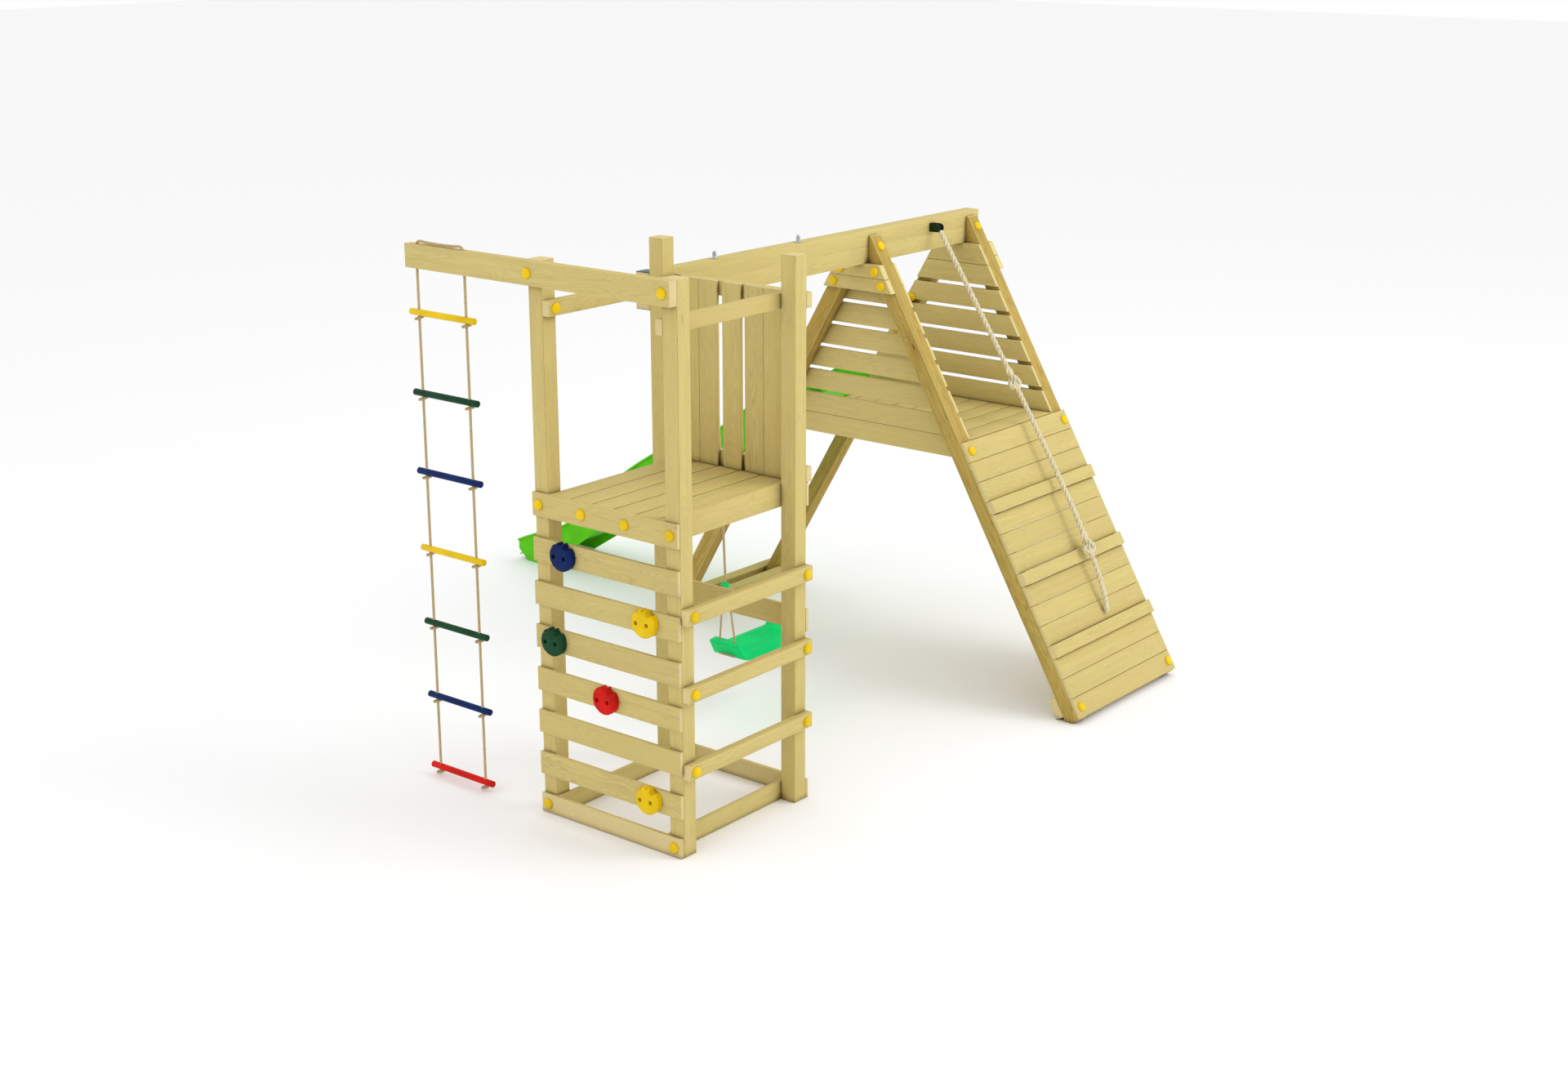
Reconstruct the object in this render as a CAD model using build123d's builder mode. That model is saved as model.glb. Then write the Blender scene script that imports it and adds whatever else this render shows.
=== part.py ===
from build123d import *
import math
import os

# Timber play tower with a swing beam, a rope ladder, a ramped A-frame platform and a wave slide.
# Millimetres, +Z up. +X runs along the swing beam from the tower to the platform, and +Y runs
# towards the side of the rope ladder and the slide. The origin is at the bottom centre of the
# bounding box of the rigid pieces.

# ---- timber sections -------------------------------------------------------------------------
post = 80.0                # square posts, beam timbers and A-frame legs
board_t = 18.0             # thin boards
board_h = 106.0
rail_t = 38.0              # rungs, rails, battens
rail_h = 68.0
plank_t = 44.0             # ladder beam and ground ties
plank_h = 105.0
edge_round = 5.0           # rounded long edges of the posts
seam = 1.0                 # gap between butted boards

# ---- tower -----------------------------------------------------------------------------------
tower_x = 836.0
tower_y = 836.0
post_height = 2500.0
deck_top = 1492.0
floor_board_w = 120.0
floor_pitch = 127.0
floor_count = 5
top_rail_z = 2264.0        # underside of the rails round the top
base_board_h = 90.0
mid_board_z = 802.0
wall_board_count = 6
wall_board_pitch = 200.0
wall_board_top = 1289.0
rung_z = (362.0, 710.0, 1054.0)
panel_board_y = (121.0, 228.0, 357.0, 494.0, 601.0)   # lower edge of each upright board

# ---- ladder beam and rope ladder -------------------------------------------------------------
ladder_beam_length = 1550.0
ladder_rope_d = 12.0
ladder_rope_y = (1198.0, 1498.0)
ladder_rung_d = 30.0
ladder_rung_length = 400.0
ladder_rung_z = (2196.0, 1832.0, 1469.0, 1108.0, 754.0, 396.0, 44.0)
ladder_colours = ("yellow", "green", "blue", "yellow", "green", "blue", "red")
knot_d = 36.0
knot_h = 20.0

# ---- swing beam and swing --------------------------------------------------------------------
beam_timber_h = 82.0
beam_bottom = 2171.0
hanger_x = (1251.0, 1876.0)
eye_wire_r = 4.4
eye_ring_r = 14.0
chain_wire_r = 3.0
chain_bend_r = 8.0         # bend of a link, to the middle of its wire
chain_straight = 20.0
chain_links = 5
swing_rope_d = 12.0
swing_lean = 61.0          # how far each rope leans in from its hanger to its joint
joint_z = 728.0            # height of the joint where each rope splits in two
seat_length = 540.0
seat_depth = 210.0
seat_t = 48.0              # depth of the moulding between its ends
seat_z = 342.0             # underside of the seat
seat_rise = 90.0           # how far the raised ends reach above the underside
seat_rope_spread = 98.0

# ---- A-frames and platform -------------------------------------------------------------------
frame_near_x = 2392.0      # outer face of the legs nearest the tower
frame_spacing = 868.0
frame_top = 2308.0
frame_top_half = 57.3      # half the width over the legs' outer faces at the top
lean = math.radians(30.0)
foot_cut = 26.0
frame_wall_z = (1328.0, 1453.5, 1579.0, 1704.5, 1830.0, 1956.0, 2063.5)
platform_top = 1328.0
platform_end_y = 1386.0
platform_count = 9
ramp_top_z = 1321.0
ramp_group = 3
ramp_groups = 4

# ---- slide -----------------------------------------------------------------------------------
slide_x = 2864.0
slide_width = 465.0
slide_wall_t = 8.0
slide_start_y = 1330.0
slide_flange = 26.0
slide_flange_t = 12.0

# ---- small pieces ----------------------------------------------------------------------------
cap_r = 23.5
cap_h = 14.0
hold_r = 65.0
hold_t = 40.0
hold_bolt_gap = 60.0
grip_length = 259.0
grip_height = 48.0
grip_bar_r = 11.0
climb_rope_d = 26.0
climb_rope_x = 2943.0
bracket_reach = 68.0         # how far the bracket's ears stand off the beam
bracket_height = 44.0
fit_gap = 0.3              # clearance between pieces that move against each other

# ---- places that follow ----------------------------------------------------------------------
beam_y0 = tower_y
beam_mid = beam_y0 + post / 2
beam_top = beam_bottom + 2 * beam_timber_h
frame_far_x = frame_near_x + frame_spacing + post
ramp_board_count = ramp_group * ramp_groups
ramp_length = ramp_board_count * (board_h + seam) + (ramp_groups - 1) * (rail_h + seam) - seam
beam_end_x = frame_far_x + rail_t
gusset_z = (beam_bottom - 2 * rail_h - seam, beam_bottom - rail_h)


def leg_outer(z):
    """Y of the outer face of the front legs at a height."""
    return beam_mid - frame_top_half - math.tan(lean) * (frame_top - z)


def on_front_slope(along, proud):
    """Point on the front legs' outer face: distance down the slope from the ramp's top, height off it."""
    y = leg_outer(ramp_top_z) - along * math.sin(lean) - proud * math.cos(lean)
    z = ramp_top_z - along * math.cos(lean) + proud * math.sin(lean)
    return (y, z)


def mirror_y(points):
    """The same outline on the other side of the swing beam."""
    return [(2 * beam_mid - y, z) for y, z in points]


# The origin is half way between the outermost pieces, so the corner of the tower stands off it.
slide_run = 2357.0
x_low = -(board_t + hold_t)
x_high = frame_far_x + rail_t + cap_h
y_low = on_front_slope(ramp_length, board_t)[0]
y_high = slide_start_y + slide_run
site = Location((-(x_low + x_high) / 2, -(y_low + y_high) / 2, 0))

os.makedirs("parts", exist_ok=True)


def save(piece, name):
    """Label a finished piece, set it in the part's own frame and write it."""
    placed = piece.part.moved(site)
    placed.label = name
    export_step(placed, "parts/" + name + ".step")
    print(name, len(placed.solids()), round(placed.volume))


def plank(x, y, z):
    """A straight piece of timber that fills three spans."""
    with Locations(((x[0] + x[1]) / 2, (y[0] + y[1]) / 2, (z[0] + z[1]) / 2)):
        Box(x[1] - x[0], y[1] - y[0], z[1] - z[0])


def prism(x, outline):
    """A piece with an outline in Y and Z, between two values of X."""
    with BuildSketch(Plane.YZ.offset(x[0])) as profile:
        with BuildLine():
            Polyline(outline, close=True)
        make_face()
    extrude(profile.sketch, amount=x[1] - x[0])


def frame_board(x, z):
    """A board across one A-frame, with its ends cut flush with the legs."""
    front = [(leg_outer(z[0]), z[0]), (leg_outer(z[1]), z[1])]
    back = mirror_y(front)
    prism(x, [front[0], back[0], back[1], front[1]])


def slope_board(x, along, proud):
    """A board that lies on the front legs' outer faces."""
    low = (on_front_slope(along[1], proud[0]), on_front_slope(along[1], proud[1]))
    high = (on_front_slope(along[0], proud[1]), on_front_slope(along[0], proud[0]))
    prism(x, [low[0], low[1], high[0], high[1]])


def tube(points, radius, bends=None):
    """A round cord along straight runs, with arcs at its corners. Returns the line down its middle."""
    with BuildLine() as route:
        if bends:
            FilletPolyline(points, radius=bends)
        else:
            Polyline(points)
    with BuildSketch(Plane(origin=route.line @ 0, z_dir=route.line % 0)) as section:
        Circle(radius)
    sweep(section.sketch, path=route.line)
    return route.line


# ---- tower posts -----------------------------------------------------------------------------
for post_name, px, py in (
    ("post_front_left", 0.0, 0.0),
    ("post_back_left", 0.0, tower_y - post),
    ("post_front_right", tower_x - post, 0.0),
    ("post_back_right", tower_x - post, tower_y - post),
):
    with BuildPart() as tower_post:
        plank((px, px + post), (py, py + post), (0, post_height))
        fillet(tower_post.edges().filter_by(Axis.Z), radius=edge_round)
    save(tower_post, post_name)

# ---- ladder beam -----------------------------------------------------------------------------
ladder_beam_z = post_height - plank_h
ladder_rope_x = -plank_t / 2
with BuildPart() as ladder_beam:
    plank((-plank_t, 0), (0, ladder_beam_length), (ladder_beam_z, post_height))
    for rope_y in ladder_rope_y:
        with Locations((ladder_rope_x, rope_y, post_height - plank_h / 2)):
            Cylinder(ladder_rope_d / 2 + fit_gap, plank_h + 2, mode=Mode.SUBTRACT)
save(ladder_beam, "ladder_beam")

# ---- rails round the top ---------------------------------------------------------------------
panel_x = (tower_x - board_t, tower_x)
top_rail_span = (top_rail_z, top_rail_z + rail_h)
with BuildPart() as top_rails:
    plank((0, panel_x[0]), (post, post + rail_t), top_rail_span)
    plank((0, panel_x[0]), (tower_y - post - rail_t, tower_y - post), top_rail_span)
save(top_rails, "top_rails")

with BuildPart() as panel_top_rail:
    plank((tower_x, tower_x + rail_t), (0, tower_y), top_rail_span)
save(panel_top_rail, "panel_top_rail")

with BuildPart() as panel_bottom_rail:
    plank((tower_x, tower_x + rail_t), (0, tower_y), (deck_top + seam, deck_top + seam + rail_h))
save(panel_bottom_rail, "panel_bottom_rail")

with BuildPart() as panel_boards:
    for low in panel_board_y:
        plank(panel_x, (low, low + board_h), (deck_top, top_rail_z + rail_h))
save(panel_boards, "panel_boards")

# ---- deck ------------------------------------------------------------------------------------
deck_under = deck_top - board_t
floor_y = post + rail_t - 1.0
with BuildPart() as floor_joists:
    plank((0, tower_x), (post, floor_y), (deck_top - board_h, deck_top))
    plank((0, tower_x), (tower_y - post - rail_t, tower_y - post), (deck_under - rail_h, deck_under))
    for joist_x in (0.0, (tower_x - rail_t) / 2, tower_x - rail_t):
        joist_y = (floor_y + seam, tower_y - post - rail_t - seam)
        plank((joist_x, joist_x + rail_t), joist_y, (deck_under - rail_h, deck_under))
save(floor_joists, "floor_joists")

with BuildPart() as tower_floor_boards:
    for i in range(floor_count):
        low = floor_y + seam + i * floor_pitch
        plank((0, tower_x), (low, low + floor_board_w), (deck_under, deck_top))
save(tower_floor_boards, "tower_floor_boards")

with BuildPart() as wall_side_fascia:
    plank((-board_t, 0), (0, tower_y), (deck_top - board_h, deck_top))
save(wall_side_fascia, "wall_side_fascia")

with BuildPart() as swing_side_boards:
    plank((tower_x, tower_x + board_t), (0, tower_y), (deck_top - board_h, deck_top))
    plank((tower_x, tower_x + board_t), (0, tower_y), (mid_board_z, mid_board_z + board_h))
save(swing_side_boards, "swing_side_boards")

# ---- boards at the foot of the tower ---------------------------------------------------------
with BuildPart() as base_boards:
    plank((seam, tower_x - seam), (post, post + board_t), (0, base_board_h))
    plank((seam, tower_x - seam), (tower_y - post - board_t, tower_y - post), (0, base_board_h))
    plank((-board_t, 0), (0, tower_y), (0, base_board_h))
    plank((tower_x, tower_x + board_t), (0, tower_y), (0, base_board_h))
save(base_boards, "base_boards")

# ---- climbing wall and its holds -------------------------------------------------------------
wall_mid = [wall_board_top - board_h / 2 - i * wall_board_pitch for i in range(wall_board_count)]
hold_places = {
    "blue": ((648.0, wall_mid[0]),),
    "yellow": ((176.0, wall_mid[1]), (172.0, wall_mid[5])),
    "green": ((716.0, wall_mid[2]),),
    "red": ((412.0, wall_mid[3]),),
}
hold_centres = [place for places in hold_places.values() for place in places]
bolt_r = 4.0
with BuildPart() as climbing_wall_boards:
    for mid in wall_mid:
        plank((-board_t, 0), (0, tower_y), (mid - board_h / 2, mid + board_h / 2))
    for hold_y, hold_z in hold_centres:
        for side in (-1, 1):
            with Locations(Plane(origin=(0, hold_y + side * hold_bolt_gap / 2, hold_z), z_dir=(-1, 0, 0))):
                Cylinder(bolt_r + fit_gap, 3 * board_t, mode=Mode.SUBTRACT)
save(climbing_wall_boards, "climbing_wall_boards")

bolt_head_r = 8.0
bolt_head_h = 6.0
recess_depth = 24.0
with BuildPart() as hold_shape:
    with BuildSketch(Plane.XY):
        RegularPolygon(radius=hold_r, side_count=16)
    extrude(amount=hold_t)
    chamfer(hold_shape.faces().sort_by(Axis.Z)[-1].edges(), length=13)
    for turn, bite_r in ((-30, 12.0), (2, 11.0), (34, 16.0)):
        with BuildSketch(Plane.XY):
            with Locations((hold_r * math.sin(math.radians(turn)), hold_r * math.cos(math.radians(turn)))):
                Circle(bite_r)
        extrude(amount=hold_t + 1, mode=Mode.SUBTRACT)
    with Locations((-hold_bolt_gap / 2, 0, hold_t / 2), (hold_bolt_gap / 2, 0, hold_t / 2)):
        Cylinder(bolt_r + fit_gap, hold_t + 2, mode=Mode.SUBTRACT)
    with Locations((-hold_bolt_gap / 2, 0, hold_t), (hold_bolt_gap / 2, 0, hold_t)):
        Cylinder(bolt_head_r + 2, 2 * recess_depth, mode=Mode.SUBTRACT)


def hold_plane(place):
    """Plane on the face of the climbing wall, looking out, with the hold's notches up."""
    return Plane(origin=(-board_t, place[0], place[1]), x_dir=(0, -1, 0), z_dir=(-1, 0, 0))


for colour, places in hold_places.items():
    with BuildPart() as holds:
        with Locations(*[hold_plane(place) for place in places]):
            add(hold_shape.part)
    save(holds, "holds_" + colour)

with BuildPart() as bolt_shape:
    head_z = hold_t - recess_depth
    for side in (-1, 1):
        with Locations((side * hold_bolt_gap / 2, 0, head_z + fit_gap)):
            Cylinder(bolt_head_r, bolt_head_h, align=(Align.CENTER, Align.CENTER, Align.MIN))
        with Locations((side * hold_bolt_gap / 2, 0, -board_t)):
            Cylinder(bolt_r, board_t + head_z + 1, align=(Align.CENTER, Align.CENTER, Align.MIN))
with BuildPart() as hold_bolts:
    with Locations(*[hold_plane(place) for place in hold_centres]):
        add(bolt_shape.part)
save(hold_bolts, "hold_bolts")

# ---- rungs on the front of the tower ---------------------------------------------------------
with BuildPart() as step_rungs:
    for z in rung_z:
        plank((0, tower_x), (-rail_t, 0), (z, z + rail_h))
save(step_rungs, "step_rungs")

# ---- swing beam ------------------------------------------------------------------------------
beam_x = (tower_x - post, beam_end_x)
eye_shank_r = 5.0
for beam_name, low in (("beam_lower_timber", beam_bottom), ("beam_upper_timber", beam_bottom + beam_timber_h)):
    with BuildPart() as beam_timber:
        plank(beam_x, (beam_y0, beam_y0 + post), (low, low + beam_timber_h))
        for x in hanger_x:
            with Locations((x, beam_mid, low + beam_timber_h / 2)):
                Cylinder(eye_shank_r + fit_gap, beam_timber_h + 2, mode=Mode.SUBTRACT)
    save(beam_timber, beam_name)

saddle_t = 3.0
saddle_reach = 74.0
saddle_y = (beam_y0, beam_y0 + post)
with BuildPart() as beam_saddle:
    plank((beam_x[0], beam_x[0] + saddle_reach), saddle_y, (beam_top, beam_top + saddle_t))
    plank((beam_x[0], beam_x[0] + saddle_reach), saddle_y, (beam_bottom - saddle_t, beam_bottom))
save(beam_saddle, "beam_saddle")

# ---- A-frame legs ----------------------------------------------------------------------------
leg_slant = post / math.cos(lean)
meet_z = frame_top - (leg_outer(frame_top) + leg_slant - beam_y0) / math.tan(lean)
front_leg = [
    (leg_outer(frame_top), frame_top),
    (beam_y0, frame_top),
    (beam_y0, meet_z),
    (leg_outer(0) + leg_slant, 0),
    (leg_outer(foot_cut) + foot_cut / math.tan(lean), 0),
    (leg_outer(foot_cut), foot_cut),
]
for frame_name, x in (("near", frame_near_x), ("far", frame_near_x + frame_spacing)):
    with BuildPart() as leg:
        prism((x, x + post), front_leg)
    save(leg, frame_name + "_front_leg")
    with BuildPart() as leg:
        prism((x, x + post), mirror_y(front_leg))
    save(leg, frame_name + "_back_leg")

# ---- boards across the A-frames --------------------------------------------------------------
near_in_x = frame_near_x + post
far_in_x = frame_near_x + frame_spacing
for frame_name, gusset_x, wall_x in (
    ("near", (frame_near_x - rail_t, frame_near_x), (near_in_x, near_in_x + board_t)),
    ("far", (frame_far_x, frame_far_x + rail_t), (far_in_x - board_t, far_in_x)),
):
    with BuildPart() as gussets:
        for z in gusset_z:
            frame_board(gusset_x, (z, z + rail_h))
    save(gussets, frame_name + "_gussets")
    with BuildPart() as wall_boards:
        for z in frame_wall_z:
            frame_board(wall_x, (z, z + board_h))
    save(wall_boards, frame_name + "_wall_boards")

# ---- platform --------------------------------------------------------------------------------
platform_front_y = platform_end_y - (platform_count - 1) * floor_pitch - floor_board_w
platform_under = platform_top - board_t
with BuildPart() as platform_side_boards:
    for x in (near_in_x, far_in_x - board_t):
        frame_board((x, x + board_t), (platform_top - board_h, platform_top - seam))
save(platform_side_boards, "platform_side_boards")

with BuildPart() as platform_joists:
    for x in (near_in_x + board_t, far_in_x - board_t - rail_t):
        plank((x, x + rail_t), (platform_front_y, platform_end_y), (platform_under - rail_h, platform_under))
save(platform_joists, "platform_joists")

with BuildPart() as platform_floor_boards:
    for i in range(platform_count):
        low = platform_front_y + i * floor_pitch
        floor_x = (near_in_x + board_t, far_in_x - board_t)
        plank(floor_x, (low, low + floor_board_w), (platform_under, platform_top))
save(platform_floor_boards, "platform_floor_boards")

# ---- ramp ------------------------------------------------------------------------------------
ramp_x = (frame_near_x, frame_far_x)
group_length = ramp_group * (board_h + seam)
with BuildPart() as ramp_boards:
    for group in range(ramp_groups):
        for i in range(ramp_group):
            start = group * (group_length + rail_h + seam) + i * (board_h + seam)
            slope_board(ramp_x, (start, start + board_h), (0, board_t))
save(ramp_boards, "ramp_boards")

with BuildPart() as ramp_battens:
    for group in range(1, ramp_groups):
        start = group * (group_length + rail_h + seam) - rail_h - seam
        slope_board(ramp_x, (start, start + rail_h), (0, rail_t))
save(ramp_battens, "ramp_battens")

# ---- ties between the feet -------------------------------------------------------------------
ground_along = ramp_top_z / math.cos(lean)
inner_low = (ramp_top_z - (post + plank_t) * math.sin(lean)) / math.cos(lean)
inner_tie = [
    on_front_slope(inner_low, -post),
    on_front_slope(inner_low, -post - plank_t),
    on_front_slope(inner_low - plank_h, -post - plank_t),
    on_front_slope(inner_low - plank_h, -post),
]
outer_tie = [
    on_front_slope(ground_along, 0),
    on_front_slope(ground_along, plank_t),
    on_front_slope(ground_along - plank_h, plank_t),
    on_front_slope(ground_along - plank_h, 0),
]
with BuildPart() as ground_ties:
    prism(ramp_x, inner_tie)
    prism(ramp_x, mirror_y(inner_tie))
    prism(ramp_x, mirror_y(outer_tie))
save(ground_ties, "ground_ties")

# ---- slide -----------------------------------------------------------------------------------
# Each line runs from the head of the slide: distance along Y, then drop below the platform.
rim_line = (
    (0, -188), (46, -182), (230, -92), (526, 107), (708, 235), (966, 344), (1228, 478),
    (1429, 609), (1710, 836), (1970, 1042), (2205, 1134), (slide_run, 1198),
)
bed_line = (
    (0, -9), (80, -9), (170, 6), (310, 92), (526, 264), (710, 392), (966, 504), (1230, 640),
    (1430, 772), (1710, 984), (1950, 1152), (2150, 1240), (2286, 1266), (slide_run - 4, 1292),
)
skirt_line = (
    (slide_run, 1262), (2285, 1324), (2130, 1324), (1900, 1178), (1670, 1018), (542, 344), (64, 26), (64, -fit_gap),
    (0, -fit_gap),
)


def slide_point(run, drop):
    """A point in Y and Z from a distance along the slide and a drop."""
    return (slide_start_y + run, platform_top - drop)


def slide_strip(x, line, depth):
    """A band that follows a line of the slide and hangs below it."""
    top = [slide_point(run, drop) for run, drop in line]
    low = [slide_point(run, drop + depth) for run, drop in line]
    with BuildSketch(Plane.YZ.offset(x[0])) as band:
        with BuildLine():
            Spline(top)
            Line(top[-1], low[-1])
            Spline(low)
            Line(top[0], low[0])
        make_face()
    extrude(band.sketch, amount=x[1] - x[0])


slide_low_x = slide_x - slide_width / 2
slide_high_x = slide_x + slide_width / 2
with BuildPart() as slide:
    for x in (slide_low_x + slide_flange / 2, slide_high_x - slide_flange / 2 - slide_wall_t):
        rim = [slide_point(run, drop) for run, drop in rim_line]
        skirt = [slide_point(run, drop) for run, drop in skirt_line]
        with BuildSketch(Plane.YZ.offset(x)):
            with BuildLine():
                Spline(rim)
                Polyline([rim[-1]] + skirt + [rim[0]])
            make_face()
        extrude(amount=slide_wall_t)
    slide_strip((slide_low_x + slide_flange / 2 + 1, slide_high_x - slide_flange / 2 - 1), bed_line, slide_wall_t)
    slide_strip((slide_low_x, slide_low_x + slide_flange), rim_line, slide_flange_t)
    slide_strip((slide_high_x - slide_flange, slide_high_x), rim_line, slide_flange_t)
save(slide, "slide")

# ---- hand grips ------------------------------------------------------------------------------
grip_foot_r = 22.0
grip_foot_t = 8.0
grip_mid = (1219.0, 1748.0)
grip_half = grip_length / 2 - grip_foot_r
with BuildPart() as grip_shape:
    grip_route = [
        (-grip_half, 0, 0),
        (-grip_half, 0, grip_height - grip_bar_r),
        (grip_half, 0, grip_height - grip_bar_r),
        (grip_half, 0, 0),
    ]
    tube(grip_route, grip_bar_r, 22)
    with Locations((-grip_half, 0, 0), (grip_half, 0, 0)):
        Cylinder(grip_foot_r, grip_foot_t, align=(Align.CENTER, Align.CENTER, Align.MIN))
grip_along = (0, math.sin(lean), -math.cos(lean))
for grip_name, x, out in (("near_hand_grip", near_in_x + board_t, 1), ("far_hand_grip", far_in_x - board_t, -1)):
    with BuildPart() as grip:
        with Locations(Plane(origin=(x, grip_mid[0], grip_mid[1]), x_dir=grip_along, z_dir=(out, 0, 0))):
            add(grip_shape.part)
    save(grip, grip_name)

# ---- bolt caps -------------------------------------------------------------------------------
with BuildPart() as cap_shape:
    Cylinder(cap_r, cap_h, align=(Align.CENTER, Align.CENTER, Align.MIN))
    fillet(cap_shape.faces().sort_by(Axis.Z)[-1].edges(), radius=cap_h - 3)

post_mids = (post / 2, tower_x - post / 2)
post_mids_y = (post / 2, tower_y - post / 2)
cap_places = []
for y in post_mids_y:
    cap_places.append(Plane(origin=(-plank_t, y, post_height - plank_h / 2), z_dir=(-1, 0, 0)))
    cap_places.append(Plane(origin=(-board_t, y, base_board_h / 2), z_dir=(-1, 0, 0)))
    cap_places.append(Plane(origin=(tower_x + board_t, y, base_board_h / 2), z_dir=(1, 0, 0)))
    cap_places.append(Plane(origin=(tower_x + board_t, y, mid_board_z + board_h / 2), z_dir=(1, 0, 0)))
    cap_places.append(Plane(origin=(tower_x + board_t, y, deck_top - board_h / 2), z_dir=(1, 0, 0)))
    cap_places.append(Plane(origin=(tower_x + rail_t, y, deck_top + seam + rail_h / 2), z_dir=(1, 0, 0)))
    cap_places.append(Plane(origin=(tower_x + rail_t, y, top_rail_z + rail_h / 2), z_dir=(1, 0, 0)))
for share in (0, 1 / 3, 2 / 3, 1):
    y = post / 2 + share * (tower_y - post)
    cap_places.append(Plane(origin=(-board_t, y, deck_top - board_h / 2), z_dir=(-1, 0, 0)))
rail_cap_z = top_rail_z + rail_h / 2
cap_places.append(Plane(origin=(post / 2, post + rail_t, rail_cap_z), z_dir=(0, 1, 0)))
cap_places.append(Plane(origin=(post / 2, tower_y - post - rail_t, rail_cap_z), z_dir=(0, -1, 0)))
for x in post_mids:
    for z in rung_z:
        cap_places.append(Plane(origin=(x, -rail_t, z + rail_h / 2), z_dir=(0, -1, 0)))
for z, half in ((gusset_z[0] + rail_h / 2, 150.0), (gusset_z[1] + rail_h / 2, 109.0)):
    for side in (-1, 1):
        y = beam_mid + side * half
        cap_places.append(Plane(origin=(frame_near_x - rail_t, y, z), z_dir=(-1, 0, 0)))
        cap_places.append(Plane(origin=(frame_far_x + rail_t, y, z), z_dir=(1, 0, 0)))
leg_cap_z = 2256.0
for x in (frame_near_x + post / 2, frame_far_x - post / 2):
    for side in (-1, 1):
        y = beam_mid + side * (beam_mid - leg_outer(leg_cap_z))
        slope_out = (0, side * math.cos(lean), math.sin(lean))
        cap_places.append(Plane(origin=(x, y, leg_cap_z), z_dir=slope_out))
    for along in (board_h / 2, ramp_length - board_h / 2):
        y, z = on_front_slope(along, board_t)
        cap_places.append(Plane(origin=(x, y, z), z_dir=(0, -math.cos(lean), math.sin(lean))))
with BuildPart() as bolt_caps:
    with Locations(*cap_places):
        add(cap_shape.part)
save(bolt_caps, "bolt_caps")

# ---- swing eye bolts -------------------------------------------------------------------------
washer_t = 3.0
washer_r = 18.0
nut_r = 10.0
nut_h = 14.0
nut_count = 2                 # a nut and a lock nut
ring_z = beam_bottom - washer_t - eye_ring_r - eye_wire_r - 1.0
pivot_z = ring_z - eye_ring_r
with BuildPart() as swing_eye_bolts:
    for x in hanger_x:
        with Locations((x, beam_mid, ring_z + eye_ring_r)):
            shank_top = beam_top + washer_t + nut_count * nut_h + 6.0
            shank = shank_top - ring_z - eye_ring_r
            Cylinder(eye_shank_r, shank, align=(Align.CENTER, Align.CENTER, Align.MIN))
        with Locations((x, beam_mid, beam_bottom - washer_t / 2), (x, beam_mid, beam_top + washer_t / 2)):
            Cylinder(washer_r, washer_t)
        for i in range(nut_count):
            with BuildSketch(Plane.XY.offset(beam_top + washer_t + i * nut_h)):
                with Locations((x, beam_mid)):
                    RegularPolygon(radius=nut_r, side_count=6)
            extrude(amount=nut_h - fit_gap)
        with Locations(Plane(origin=(x, beam_mid, ring_z), z_dir=(0, 1, 0))):
            Torus(eye_ring_r, eye_wire_r)
save(swing_eye_bolts, "swing_eye_bolts")

# ---- swing chains ----------------------------------------------------------------------------
link_pitch = chain_straight + 2 * chain_bend_r - 2 * chain_wire_r - fit_gap


with BuildPart() as swing_chains:
    for x in hanger_x:
        for i in range(chain_links):
            top = pivot_z - i * link_pitch
            across = Vector(0, 1, 0) if i % 2 == 0 else Vector(1, 0, 0)
            up = Vector(0, 0, 1)
            centre = Vector(x, beam_mid, top)
            foot = centre - up * chain_straight
            side = across * chain_bend_r
            with BuildLine() as oval:
                ThreePointArc(centre - side, centre + up * chain_bend_r, centre + side)
                Line(centre + side, foot + side)
                ThreePointArc(foot + side, foot - up * chain_bend_r, foot - side)
                Line(foot - side, centre - side)
            with BuildSketch(Plane(origin=centre - side, z_dir=(0, 0, 1))):
                Circle(chain_wire_r)
            sweep(path=oval.line)
save(swing_chains, "swing_chains")
chain_foot_z = pivot_z - (chain_links - 1) * link_pitch - chain_straight - chain_bend_r - chain_wire_r

# ---- swing ropes and joints ------------------------------------------------------------------
swing_mid_x = (hanger_x[0] + hanger_x[1]) / 2
joint_r = 13.0
joint_half = 22.0
seat_top_z = seat_z + seat_rise
seat_half = seat_length / 2
seat_lip = 60.0             # width of the raised ends that the ropes go through
for side_name, x, inward in (("left", hanger_x[0], 1), ("right", hanger_x[1], -1)):
    joint_x = x + inward * swing_lean
    with BuildPart() as upper_rope:
        tube([(x, beam_mid, chain_foot_z - fit_gap), (joint_x, beam_mid, joint_z + joint_r)], swing_rope_d / 2)
    save(upper_rope, "swing_rope_" + side_name)

with BuildPart() as rope_joints:
    for x, inward in ((hanger_x[0], 1), (hanger_x[1], -1)):
        joint_x = x + inward * swing_lean
        with Locations(Plane(origin=(joint_x, beam_mid, joint_z), z_dir=(0, 1, 0))):
            Cylinder(joint_r - fit_gap, 2 * joint_half)
save(rope_joints, "rope_joints")

with BuildPart() as seat_ropes:
    for x, inward in ((hanger_x[0], 1), (hanger_x[1], -1)):
        joint_x = x + inward * swing_lean
        end_x = swing_mid_x - inward * (seat_half - seat_lip / 2)
        for side in (-1, 1):
            start = (joint_x, beam_mid + side * joint_half * 0.6, joint_z - joint_r - 1)
            end = (end_x, beam_mid + side * seat_rope_spread / 2, seat_top_z + fit_gap + 1)
            tube([start, end], swing_rope_d / 2 * 0.8)
save(seat_ropes, "seat_ropes")

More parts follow.
